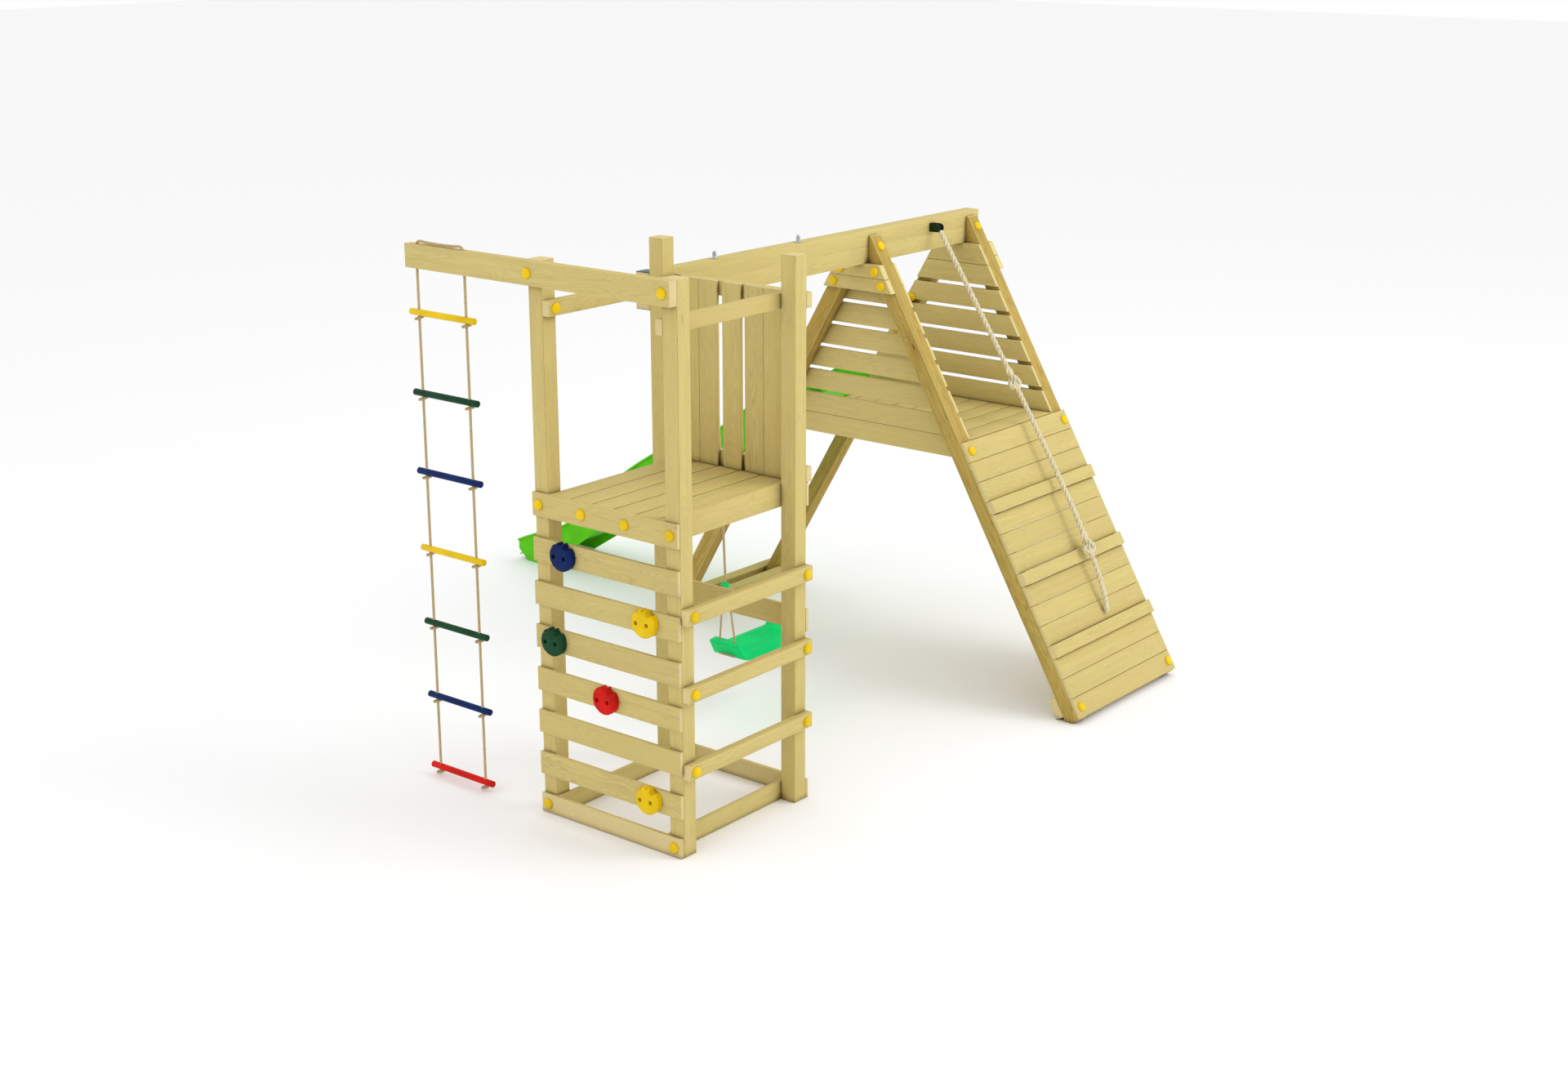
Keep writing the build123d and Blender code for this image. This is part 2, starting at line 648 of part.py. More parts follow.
with BuildPart() as swing_seat:
    outline = [
        (-seat_half, seat_top_z - 10), (-seat_half + 45, seat_z + 8), (-seat_half + 80, seat_z),
        (seat_half - 80, seat_z), (seat_half - 45, seat_z + 8), (seat_half, seat_top_z - 10),
        (seat_half - 8, seat_top_z), (seat_half - seat_lip, seat_top_z),
        (seat_half - seat_lip - 35, seat_z + seat_t), (-seat_half + seat_lip + 35, seat_z + seat_t),
        (-seat_half + seat_lip, seat_top_z), (-seat_half + 8, seat_top_z),
    ]
    seat_front = beam_mid - seat_depth / 2
    with BuildSketch(Plane(origin=(swing_mid_x, seat_front, 0), x_dir=(1, 0, 0), z_dir=(0, -1, 0))):
        with BuildLine():
            Polyline(outline, close=True)
        make_face()
    extrude(amount=-seat_depth)
save(swing_seat, "swing_seat")

# ---- rope ladder -----------------------------------------------------------------------------
ladder_mid_y = sum(ladder_rope_y) / 2
rope_r = ladder_rope_d / 2
with BuildPart() as ladder_top_rope:
    bend = ladder_rope_d
    over_z = post_height + bend
    top_route = [
        (ladder_rope_x, ladder_rope_y[0], ladder_beam_z),
        (ladder_rope_x, ladder_rope_y[0], over_z),
        (ladder_rope_x, ladder_rope_y[1], over_z),
        (ladder_rope_x, ladder_rope_y[1], ladder_beam_z),
    ]
    tube(top_route, rope_r, bend)
save(ladder_top_rope, "ladder_top_rope")

ladder_pivot_z = ladder_beam_z - rope_r - fit_gap
ladder_foot_z = ladder_rung_z[-1] - ladder_rung_d / 2 - knot_h - 4.0
for rope_name, rope_y in zip(("ladder_rope_inner", "ladder_rope_outer"), ladder_rope_y):
    with BuildPart() as ladder_rope:
        with Locations((ladder_rope_x, rope_y, ladder_pivot_z)):
            Sphere(rope_r)
        tube([(ladder_rope_x, rope_y, ladder_pivot_z), (ladder_rope_x, rope_y, ladder_foot_z)], rope_r)
    save(ladder_rope, rope_name)

for colour in ("yellow", "green", "blue", "red"):
    with BuildPart() as ladder_rungs:
        for z, rung_colour in zip(ladder_rung_z, ladder_colours):
            if rung_colour == colour:
                with Locations(Plane(origin=(ladder_rope_x, ladder_mid_y, z), z_dir=(0, 1, 0))):
                    Cylinder(ladder_rung_d / 2, ladder_rung_length)
                with Locations(*[(ladder_rope_x, rope_y, z) for rope_y in ladder_rope_y]):
                    Cylinder(rope_r + fit_gap, ladder_rung_d + 2, mode=Mode.SUBTRACT)
    save(ladder_rungs, "ladder_rungs_" + colour)

with BuildPart() as ladder_knots:
    for z in ladder_rung_z:
        for rope_y in ladder_rope_y:
            knot_top = z - ladder_rung_d / 2 - fit_gap
            with Locations((ladder_rope_x, rope_y, knot_top - knot_h / 2)):
                Cylinder(knot_d / 2, knot_h)
                Cylinder(rope_r + fit_gap / 3, knot_h + 2, mode=Mode.SUBTRACT)
save(ladder_knots, "ladder_knots")

# ---- climbing rope and its bracket -----------------------------------------------------------
bracket_t = 4.0
pin_r = 5.0
ear_r = bracket_height / 2
pin_y = beam_y0 - bracket_reach + ear_r
pin_z = 2289.0
ear_gap = climb_rope_d + 2.0
ear_t = 3.0
with BuildPart() as rope_bracket:
    bracket_half = ear_gap / 2 + ear_t
    ear_z = (pin_z - ear_r, pin_z + ear_r)
    plank((climb_rope_x - bracket_half, climb_rope_x + bracket_half), (beam_y0 - bracket_t, beam_y0), ear_z)
    for side in (-1, 1):
        ear_x = climb_rope_x + side * (ear_gap + ear_t) / 2
        plank((ear_x - ear_t / 2, ear_x + ear_t / 2), (pin_y, beam_y0 - bracket_t), ear_z)
        with Locations(Plane(origin=(ear_x, pin_y, pin_z), z_dir=(1, 0, 0))):
            Cylinder(ear_r, ear_t)
    with Locations(Plane(origin=(climb_rope_x, pin_y, pin_z), z_dir=(1, 0, 0))):
        Cylinder(pin_r, ear_gap + 2 * ear_t)
save(rope_bracket, "rope_bracket")

eye_r = 24.0
climb_r = climb_rope_d / 2
rope_route = ((222.0, 1439.0), (-290.0, 590.0), (-312.0, 417.0))
rope_knot_share = (0.4, 0.83)   # how far down the rope each knot is tied
rope_knot_r = 29.0
rope_knot_h = 48.0
with BuildPart() as climbing_rope:
    first = Vector(0, rope_route[0][0] - pin_y, rope_route[0][1] - pin_z).normalized()
    rope_start = Vector(climb_rope_x, pin_y, pin_z) + first * (eye_r - 4)
    rope_points = [rope_start] + [Vector(climb_rope_x, y, z) for y, z in rope_route]
    bends = []
    for before, corner, after in zip(rope_points, rope_points[1:], rope_points[2:]):
        turn_angle = math.radians((corner - before).get_angle(after - corner))
        shorter = min((corner - before).length, (after - corner).length)
        bends.append(0.45 * shorter / math.tan(turn_angle / 2))
    print("climbing rope bends", [round(bend_r) for bend_r in bends])
    rope_line = tube(rope_points, climb_r, bends)
    with Locations(Plane(origin=(climb_rope_x, pin_y, pin_z), z_dir=(1, 0, 0))):
        Cylinder(eye_r, climb_rope_d)
        Cylinder(pin_r + fit_gap, climb_rope_d + 2, mode=Mode.SUBTRACT)
save(climbing_rope, "climbing_rope")

with BuildPart() as knot_shape:
    Cylinder(rope_knot_r, rope_knot_h)
    fillet(knot_shape.edges(), radius=14)
    Cylinder(climb_r + fit_gap, rope_knot_h + 2, mode=Mode.SUBTRACT)
with BuildPart() as rope_knots:
    for share in rope_knot_share:
        with Locations(Plane(origin=rope_line @ share, z_dir=rope_line % share)):
            add(knot_shape.part)
save(rope_knots, "rope_knots")
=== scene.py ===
import math
import random

import bmesh
import bpy
from mathutils import Matrix, Vector


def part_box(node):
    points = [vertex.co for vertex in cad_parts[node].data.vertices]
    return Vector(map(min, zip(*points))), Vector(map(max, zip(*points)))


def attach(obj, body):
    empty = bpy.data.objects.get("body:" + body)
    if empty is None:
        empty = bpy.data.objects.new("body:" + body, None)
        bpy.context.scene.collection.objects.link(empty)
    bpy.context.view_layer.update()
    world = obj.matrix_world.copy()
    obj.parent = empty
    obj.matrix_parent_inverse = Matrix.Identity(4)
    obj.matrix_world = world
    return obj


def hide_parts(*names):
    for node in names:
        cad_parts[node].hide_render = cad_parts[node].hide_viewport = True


# Looks of a timber climbing frame: sawn and treated pine, moulded plastic, zinc and twisted rope.
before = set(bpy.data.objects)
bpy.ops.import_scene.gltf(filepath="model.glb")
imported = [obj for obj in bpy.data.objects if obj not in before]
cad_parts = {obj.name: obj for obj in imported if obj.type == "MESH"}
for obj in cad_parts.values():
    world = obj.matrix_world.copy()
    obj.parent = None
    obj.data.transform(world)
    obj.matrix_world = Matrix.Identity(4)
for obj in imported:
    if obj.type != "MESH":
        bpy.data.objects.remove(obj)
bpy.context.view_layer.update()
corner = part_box("post_front_left")[0]


def at(x, y, z):
    """A place in metres from millimetres measured off the tower's front left corner."""
    return Vector((corner.x + x / 1000, corner.y + y / 1000, z / 1000))


# ---- camera ------------------------------------------------------------------------------------
camera = bpy.data.objects.new("camera", bpy.data.cameras.new("camera"))
camera.data.sensor_width = 36
camera.data.lens = 50.386
camera.location = at(-6451.3, -5746.2, 4003.1)
camera.rotation_euler = (math.radians(73.314), 0, math.radians(-51.139))
bpy.context.scene.collection.objects.link(camera)
bpy.context.scene.camera = camera


# ---- material helpers --------------------------------------------------------------------------
def new_material(name):
    """A material with its node tree, its shader and a function that adds and links nodes."""
    material = bpy.data.materials.new(name)
    material.use_nodes = True
    tree = material.node_tree
    shader = tree.nodes["Principled BSDF"]

    def add(kind, values=None, **links):
        node = tree.nodes.new(kind)
        for key, value in (values or {}).items():
            if hasattr(node, key):
                setattr(node, key, value)
            else:
                node.inputs[key].default_value = value
        for key, source in links.items():
            tree.links.new(source, node.inputs[key.replace("_", " ")])
        return node

    return material, tree, shader, add


def maths(add, operation, first, second=0.0, clamp=False):
    """One Math node on a socket and a number or another socket."""
    node = add("ShaderNodeMath", {"operation": operation, "use_clamp": clamp})
    tree = node.id_data
    for socket, value in zip(node.inputs, (first, second)):
        if isinstance(value, (int, float)):
            socket.default_value = value
        else:
            tree.links.new(value, socket)
    return node.outputs[0]


def mix(add, factor, first, second):
    """A colour between two colours or colour sockets."""
    node = add("ShaderNodeMix", {"data_type": "RGBA"})
    tree = node.id_data
    for socket, value in ((node.inputs[0], factor), (node.inputs[6], first), (node.inputs[7], second)):
        if isinstance(value, (int, float)):
            socket.default_value = value
        elif isinstance(value, tuple):
            socket.default_value = (*value, 1)
        else:
            tree.links.new(value, socket)
    return node.outputs[2]


def ramp(add, source, low, high):
    """A smooth step from 0 at low to 1 at high."""
    limits = {"interpolation_type": "SMOOTHSTEP", "From Min": low, "From Max": high}
    node = add("ShaderNodeMapRange", limits)
    node.id_data.links.new(source, node.inputs["Value"])
    return node.outputs["Result"]


def invert(add, source):
    """One less the source."""
    return maths(add, "SUBTRACT", 1.0, source)


def part_of(add, source, share):
    """The source times a number or another socket."""
    return maths(add, "MULTIPLY", source, share)


def stretched(add, source, scale):
    """The source coordinates, scaled along each axis."""
    node = add("ShaderNodeMapping", {"Scale": scale})
    node.id_data.links.new(source, node.inputs["Vector"])
    return node.outputs["Vector"]


def noise(add, source, scale, detail=2.0, rough=0.5):
    """Soft noise on coordinates."""
    node = add("ShaderNodeTexNoise", {"Scale": scale, "Detail": detail, "Roughness": rough})
    node.id_data.links.new(source, node.inputs["Vector"])
    return node.outputs["Fac"]


# ---- pine --------------------------------------------------------------------------------------
SAPWOOD_PALE = (0.515, 0.375, 0.098)
SAPWOOD_DEEP = (0.40, 0.265, 0.060)
GREEN_TINT = (0.44, 0.345, 0.085)
LATE_WOOD_PLAIN = (0.255, 0.155, 0.032)
LATE_WOOD_KNOTTY = (0.17, 0.08, 0.015)
FLECK = (0.16, 0.09, 0.02)
STREAK_DARK = (0.25, 0.16, 0.038)
STREAK_PALE = (0.66, 0.53, 0.20)
FIBRE_SHADE = (0.21, 0.13, 0.03)
ROUND_KNOT = (0.28, 0.14, 0.025)
KNOT = (0.085, 0.032, 0.012)
END_GRAIN = (0.80, 0.68, 0.37)
# Painted highlight: the rounded arrises are painted lighter, as if they caught the light.
PAINTED_ARRIS_HIGHLIGHT = (0.70, 0.60, 0.26)
# Painted shade: the colour of narrow gaps, seams and corners between boards.
PAINTED_CREVICE_SHADE = (0.10, 0.055, 0.014)


def make_pine():
    """Treated pine. Grain runs along the first axis of the boards' own grain attribute."""
    pine, tree, shader, add = new_material("treated_pine")
    grain = add("ShaderNodeAttribute", {"attribute_name": "grain"}).outputs["Vector"]
    look = add("ShaderNodeAttribute", {"attribute_name": "look"})
    flat = look.outputs["Alpha"]
    split = add("ShaderNodeSeparateColor", Color=look.outputs["Color"])
    tone, knotty, end = split.outputs[0], split.outputs[1], split.outputs[2]

    # Knots sit in long cells, and only in some of them. The growth rings bend round each one.
    cells = add("ShaderNodeTexVoronoi", {"Scale": 1.0, "Randomness": 0.9})
    tree.links.new(stretched(add, grain, (3.4, 11.0, 11.0)), cells.inputs["Vector"])
    near = cells.outputs["Distance"]
    pick = add("ShaderNodeSeparateColor", Color=cells.outputs["Color"]).outputs[0]
    chance = maths(add, "SUBTRACT", 0.86, part_of(add, knotty, 0.5))
    chosen = ramp(add, maths(add, "SUBTRACT", pick, chance), 0.0, 0.02)
    swirl = part_of(add, invert(add, ramp(add, near, 0.02, 0.5)), chosen)
    knot = part_of(add, invert(add, ramp(add, near, 0.06, 0.1)), chosen)

    # Growth rings are the contours of a long soft field: they run straight, or close in flames.
    field = noise(add, stretched(add, grain, (0.75, 9.0, 9.0)), 1.0, 2.0, 0.45)
    wave = part_of(add, field, maths(add, "ADD", part_of(add, knotty, 10.0), 34.0))
    wave = maths(add, "ADD", wave, part_of(add, swirl, 2.6))
    phase = maths(add, "FRACT", wave)
    early = ramp(add, phase, 0.25, 0.86)
    late = invert(add, ramp(add, phase, 0.88, 1.0))
    rings = part_of(add, early, late)

    fibre = noise(add, stretched(add, grain, (9.0, 420.0, 420.0)), 1.0, 3.0, 0.6)
    streak = noise(add, stretched(add, grain, (1.6, 48.0, 48.0)), 1.0, 3.0, 0.55)
    patch = noise(add, stretched(add, grain, (1.1, 4.0, 4.0)), 1.0, 2.0, 0.5)
    gaps = noise(add, stretched(add, grain, (5.0, 26.0, 26.0)), 1.0, 3.0, 0.6)
    specks = noise(add, stretched(add, grain, (14.0, 120.0, 120.0)), 1.0, 2.0, 0.5)

    # The rings fade in and out along a board.
    strength = maths(add, "ADD", part_of(add, knotty, 0.34), 0.44)
    fade = maths(add, "ADD", 0.35, part_of(add, ramp(add, gaps, 0.36, 0.6), 0.65))
    strength = part_of(add, strength, fade)

    pale = mix(add, tone, SAPWOOD_PALE, SAPWOOD_DEEP)
    pale = mix(add, part_of(add, ramp(add, patch, 0.42, 0.72), 0.6), pale, GREEN_TINT)
    dark = mix(add, knotty, LATE_WOOD_PLAIN, LATE_WOOD_KNOTTY)
    # Painted shade: ambient occlusion darkens the colour in narrow gaps, seams and corners between
    # boards.
    painted_crevice_shade = add("ShaderNodeAmbientOcclusion", {"samples": 6, "Distance": 0.05}).outputs["AO"]
    colour = mix(add, part_of(add, rings, strength), pale, dark)
    for amount, over in (
        (part_of(add, ramp(add, specks, 0.62, 0.74), 0.6), FLECK),
        (part_of(add, ramp(add, streak, 0.5, 0.78), 0.42), STREAK_DARK),
        (part_of(add, ramp(add, streak, 0.5, 0.22), 0.30), STREAK_PALE),
        (part_of(add, ramp(add, fibre, 0.45, 0.75), 0.28), FIBRE_SHADE),
        (part_of(add, swirl, 0.35), ROUND_KNOT),
        (part_of(add, knot, 0.85), KNOT),
        (part_of(add, end, 0.62), END_GRAIN),
        # Painted highlight on the rounded arrises.
        (part_of(add, invert(add, flat), 0.55), PAINTED_ARRIS_HIGHLIGHT),
        # Painted shade in the gaps and seams.
        (invert(add, ramp(add, painted_crevice_shade, 0.12, 0.72)), PAINTED_CREVICE_SHADE),
    ):
        colour = mix(add, amount, colour, over)
    tree.links.new(colour, shader.inputs["Base Color"])

    relief = maths(add, "ADD", part_of(add, rings, 0.5), part_of(add, fibre, 0.6))
    bump = add("ShaderNodeBump", {"Strength": 0.32, "Distance": 0.0012}, Height=relief)
    tree.links.new(bump.outputs["Normal"], shader.inputs["Normal"])
    rough = maths(add, "ADD", 0.56, part_of(add, fibre, 0.22))
    tree.links.new(rough, shader.inputs["Roughness"])
    shader.inputs["Specular IOR Level"].default_value = 0.08
    return pine


# ---- plastics ----------------------------------------------------------------------------------
def make_plastic(name, colour, roughness, grit=0.15, mottle=0.12, coat=0.0):
    """Moulded plastic with a faint cast texture and slightly uneven colour."""
    plastic, tree, shader, add = new_material(name)
    place = add("ShaderNodeTexCoord").outputs["Object"]
    cloud = noise(add, place, 7.0, 3.0, 0.5)
    fine = noise(add, place, 900.0, 2.0, 0.6)
    deep = tuple(c * (1 - 2.2 * mottle) for c in colour)
    light = tuple(min(1.0, c * (1 + mottle)) for c in colour)
    tree.links.new(mix(add, ramp(add, cloud, 0.3, 0.7), deep, light), shader.inputs["Base Color"])
    uneven = maths(add, "ADD", roughness, part_of(add, cloud, 0.12))
    tree.links.new(uneven, shader.inputs["Roughness"])
    bump = add("ShaderNodeBump", {"Strength": grit, "Distance": 0.0004}, Height=fine)
    tree.links.new(bump.outputs["Normal"], shader.inputs["Normal"])
    shader.inputs["Specular IOR Level"].default_value = 0.10
    shader.inputs["Coat Weight"].default_value = coat
    shader.inputs["Coat Roughness"].default_value = 0.18
    return plastic


# ---- metals ------------------------------------------------------------------------------------
def make_zinc():
    """Zinc plate, spangled and a little dull."""
    zinc, tree, shader, add = new_material("zinc_plate")
    place = add("ShaderNodeTexCoord").outputs["Object"]
    spangle = add("ShaderNodeTexVoronoi", {"Scale": 260.0})
    tree.links.new(place, spangle.inputs["Vector"])
    shade = add("ShaderNodeSeparateColor", Color=spangle.outputs["Color"]).outputs[0]
    dull, bright = (0.36, 0.37, 0.40), (0.62, 0.63, 0.66)
    tree.links.new(mix(add, shade, dull, bright), shader.inputs["Base Color"])
    rough = maths(add, "ADD", 0.28, part_of(add, shade, 0.2))
    tree.links.new(rough, shader.inputs["Roughness"])
    shader.inputs["Metallic"].default_value = 1.0
    return zinc


def make_coated_steel(name, colour):
    """Powder-coated steel with a fine orange-peel skin."""
    steel, tree, shader, add = new_material(name)
    place = add("ShaderNodeTexCoord").outputs["Object"]
    peel = noise(add, place, 420.0, 2.0, 0.5)
    cloud = noise(add, place, 16.0, 3.0, 0.5)
    deep = tuple(c * 0.72 for c in colour)
    tree.links.new(mix(add, ramp(add, cloud, 0.3, 0.7), deep, colour), shader.inputs["Base Color"])
    rough = maths(add, "ADD", 0.34, part_of(add, cloud, 0.15))
    tree.links.new(rough, shader.inputs["Roughness"])
    bump = add("ShaderNodeBump", {"Strength": 0.2, "Distance": 0.0004}, Height=peel)
    tree.links.new(bump.outputs["Normal"], shader.inputs["Normal"])
    shader.inputs["Metallic"].default_value = 0.1
    shader.inputs["Specular IOR Level"].default_value = 0.3
    return steel


# ---- rope fibre --------------------------------------------------------------------------------
def make_rope_fibre(name, colour):
    """Twisted fibre. The strand attribute counts along a strand, then round it."""
    fibre, tree, shader, add = new_material(name)
    strand = add("ShaderNodeAttribute", {"attribute_name": "strand"}).outputs["Vector"]
    yarn = noise(add, stretched(add, strand, (60.0, 9.0, 9.0)), 1.0, 4.0, 0.65)
    place = add("ShaderNodeTexCoord").outputs["Object"]
    fuzz = noise(add, place, 1500.0, 2.0, 0.6)
    deep = tuple(c * 0.62 for c in colour)
    loose_ends = (0.92, 0.86, 0.70)
    shade = mix(add, ramp(add, yarn, 0.3, 0.7), deep, colour)
    shade = mix(add, part_of(add, ramp(add, fuzz, 0.5, 0.8), 0.12), shade, loose_ends)
    tree.links.new(shade, shader.inputs["Base Color"])
    shader.inputs["Roughness"].default_value = 0.85
    shader.inputs["Specular IOR Level"].default_value = 0.1
    shader.inputs["Sheen Weight"].default_value = 0.1
    relief = maths(add, "ADD", part_of(add, yarn, 0.8), part_of(add, fuzz, 0.2))
    bump = add("ShaderNodeBump", {"Strength": 0.6, "Distance": 0.0008}, Height=relief)
    tree.links.new(bump.outputs["Normal"], shader.inputs["Normal"])
    return fibre


pine = make_pine()
yellow = make_plastic("yellow_plastic", (0.80, 0.54, 0.001), 0.28, mottle=0.06, coat=0.12)
blue = make_plastic("blue_plastic", (0.003, 0.018, 0.105), 0.42, grit=0.3)
green = make_plastic("dark_green_plastic", (0.008, 0.058, 0.022), 0.42, grit=0.3)
red = make_plastic("red_plastic", (0.60, 0.008, 0.004), 0.42, grit=0.3)
lime = make_plastic("lime_plastic", (0.10, 0.56, 0.001), 0.35, grit=0.08, mottle=0.07, coat=0.05)
mint = make_plastic("mint_plastic", (0.001, 0.66, 0.17), 0.42, grit=0.2, mottle=0.05)
zinc = make_zinc()
saddle_steel = make_coated_steel("saddle_steel", (0.035, 0.075, 0.10))
bracket_steel = make_coated_steel("bracket_steel", (0.001, 0.018, 0.004))
black_steel = make_coated_steel("black_steel", (0.012, 0.010, 0.009))
beige_fibre = make_rope_fibre("beige_fibre", (0.62, 0.47, 0.235))
cream_fibre = make_rope_fibre("cream_fibre", (0.84, 0.75, 0.52))


# ---- pieces from the CAD solids ----------------------------------------------------------------
def merged_copy(node):
    """The node's mesh as a bmesh with its loose triangles joined and its flat faces whole."""
    shape = bmesh.new()
    shape.from_mesh(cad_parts[node].data)
    bmesh.ops.remove_doubles(shape, verts=shape.verts, dist=0.00002)
    bmesh.ops.dissolve_limit(shape, angle_limit=math.radians(1.0), verts=shape.verts, edges=shape.edges)
    return shape


def sharp_edges(shape, least=35):
    """Edges where two faces meet at more than a number of degrees."""
    found = []
    for edge in shape.edges:
        if len(edge.link_faces) == 2 and edge.calc_face_angle(0) > math.radians(least):
            found.append(edge)
    return found


def soften(shape, width, segments=2, least=35):
    """Rounds the sharp edges."""
    bmesh.ops.bevel(
        shape, geom=sharp_edges(shape, least), offset=width, segments=segments, profile=0.5,
        affect="EDGES", clamp_overlap=True, material=-1,
    )


def finish_piece(shape, name, material, body, nodes, smooth_angle=40):
    """Makes the object of a finished bmesh, at the origin, and sets what it rides on and replaces."""
    mesh = bpy.data.meshes.new(name)
    shape.to_mesh(mesh)
    shape.free()
    piece = bpy.data.objects.new(name, mesh)
    bpy.context.scene.collection.objects.link(piece)
    mesh.materials.append(material)
    mesh.shade_smooth()
    mesh.set_sharp_from_angle(angle=math.radians(smooth_angle))
    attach(piece, body)
    if nodes:
        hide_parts(*nodes)
    return piece


def islands(shape):
    """The separate solids of a bmesh, each as a list of its faces."""
    left = set(shape.faces)
    groups = []
    for face in shape.faces:
        if face not in left:
            continue
        group = []
        reach = [face]
        left.discard(face)
        while reach:
            here = reach.pop()
            group.append(here)
            for edge in here.edges:
                for other in edge.link_faces:
                    if other in left:
                        left.discard(other)
                        reach.append(other)
        groups.append(group)
    return groups


lean = math.radians(30)          # lean of the A-frames' legs
ALONG = {
    "x": Vector((1, 0, 0)),
    "y": Vector((0, 1, 0)),
    "z": Vector((0, 0, 1)),
    "front_leg": Vector((0, math.sin(lean), math.cos(lean))),
    "back_leg": Vector((0, -math.sin(lean), math.cos(lean))),
}
wood_chance = random.Random(7)


def timber(node, way, knotty=(), tone=None, width=0.0022):
    """Sawn boards: rounded arrises, and on each board its own piece of grain, tone and knots.

    The look attribute holds the board's tone, how knotty it is, whether a face is an end, and as its
    alpha whether a face is flat or an arris. The pine paints a highlight on the arrises.
    """
    shape = merged_copy(node)
    soften(shape, width, least=50)
    grain = shape.loops.layers.float_vector.new("grain")
    look = shape.loops.layers.float_color.new("look")
    along = ALONG[way]
    across = along.orthogonal().normalized() if way in ("x", "y", "z") else Vector((1, 0, 0))
    third = along.cross(across)
    for index, faces in enumerate(islands(shape)):
        centre = sum((face.calc_center_median() for face in faces), Vector()) / len(faces)
        shift = Vector([wood_chance.uniform(-40, 40) for _ in range(3)])
        board_tone = wood_chance.uniform(0.0, 0.8) if tone is None else tone
        wild = 1.0 if index in knotty else wood_chance.choice((0.0, 0.05, 0.12, 0.3))
        for face in faces:
            facing = [abs(face.normal.dot(axis)) for axis in (along, across, third)]
            end = 1.0 if facing[0] > 0.8 else 0.0
            flat = 1.0 if max(facing) > 0.985 else 0.0
            for loop in face.loops:
                place = loop.vert.co - centre
                loop[grain] = shift + Vector((place.dot(along), place.dot(across), place.dot(third)))
                loop[look] = (board_tone, wild, end, flat)
    return finish_piece(shape, node + "_sawn", pine, "frame", [node])


def moulded(node, material, body, width, segments=3, least=35):
    """A plastic or metal piece with its edges rounded."""
    shape = merged_copy(node)
    soften(shape, width, segments, least)
    return finish_piece(shape, node + "_moulded", material, body, [node])


for post_name in ("post_front_left", "post_back_left", "post_front_right", "post_back_right"):
    timber(post_name, "z", tone=0.25, width=0.0012)
timber("ladder_beam", "y", tone=0.1)
timber("top_rails", "x")
timber("panel_top_rail", "y")
timber("panel_bottom_rail", "y")
timber("panel_boards", "z", knotty=(3,))
timber("floor_joists", "x")
timber("tower_floor_boards", "x", tone=0.15)
timber("wall_side_fascia", "y", tone=0.2)
timber("swing_side_boards", "y")
timber("base_boards", "x", tone=0.3)
timber("climbing_wall_boards", "y", knotty=(0, 1, 3))
timber("step_rungs", "x", tone=0.2)
timber("beam_lower_timber", "x", tone=0.2)
timber("beam_upper_timber", "x", tone=0.1)
for frame_name in ("near", "far"):
    timber(frame_name + "_front_leg", "front_leg", tone=0.2)
    timber(frame_name + "_back_leg", "back_leg", tone=0.5)
    timber(frame_name + "_gussets", "y", tone=0.3)
timber("near_wall_boards", "y", knotty=(0,), tone=0.45)
timber("far_wall_boards", "y", knotty=(1, 4), tone=0.45)
timber("platform_side_boards", "y", tone=0.3)
timber("platform_joists", "y")
timber("platform_floor_boards", "x", tone=0.15)
timber("ramp_boards", "x")
timber("ramp_battens", "x", tone=0.1)
timber("ground_ties", "x", tone=0.4)

for node, material in (
    ("holds_blue", blue), ("holds_yellow", yellow), ("holds_green", green), ("holds_red", red),
):
    moulded(node, material, "frame", 0.004)
moulded("slide", lime, "frame", 0.0034, least=30)
for node in ("near_hand_grip", "far_hand_grip"):
    moulded(node, yellow, "frame", 0.0015, 2)
moulded("bolt_caps", yellow, "frame", 0.001, 2)
moulded("beam_saddle", saddle_steel, "frame", 0.0008, 2)
moulded("rope_bracket", bracket_steel, "frame", 0.0015, 2)
moulded("hold_bolts", black_steel, "frame", 0.0006, 2)
moulded("swing_eye_bolts", zinc, "frame", 0.0006, 2)
moulded("swing_chains", zinc, "swing", 0.0004, 1)
for node, material in (
    ("ladder_rungs_yellow", yellow), ("ladder_rungs_green", green),
    ("ladder_rungs_blue", blue), ("ladder_rungs_red", red),
):
    moulded(node, material, "rope_ladder", 0.003)


def seat_moulding():
    """The swing seat: rounded, narrower towards its raised ends, with fine ribs along its dish."""
    low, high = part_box("swing_seat")
    mid = (low + high) / 2
    half = (high.x - low.x) / 2
    shape = merged_copy("swing_seat")
    for vertex in shape.verts:
        share = max(0.0, (abs(vertex.co.x - mid.x) - 0.7 * half) / (0.3 * half))
        vertex.co.y = mid.y + (vertex.co.y - mid.y) * (1 - 0.11 * share * share)
    soften(shape, 0.010, 5, least=12)
    dish = high.z - 0.042
    rib_size = (0.29, 0.0028, 0.0032)
    rib_pitch = 0.022
    for row in range(-3, 4):
        rib = bmesh.ops.create_cube(shape, size=1.0)["verts"]
        bmesh.ops.scale(shape, verts=rib, vec=rib_size)
        bmesh.ops.translate(shape, verts=rib, vec=(mid.x, mid.y + row * rib_pitch, dish))
    return finish_piece(shape, "swing_seat_moulded", mint, "swing", ["swing_seat"])


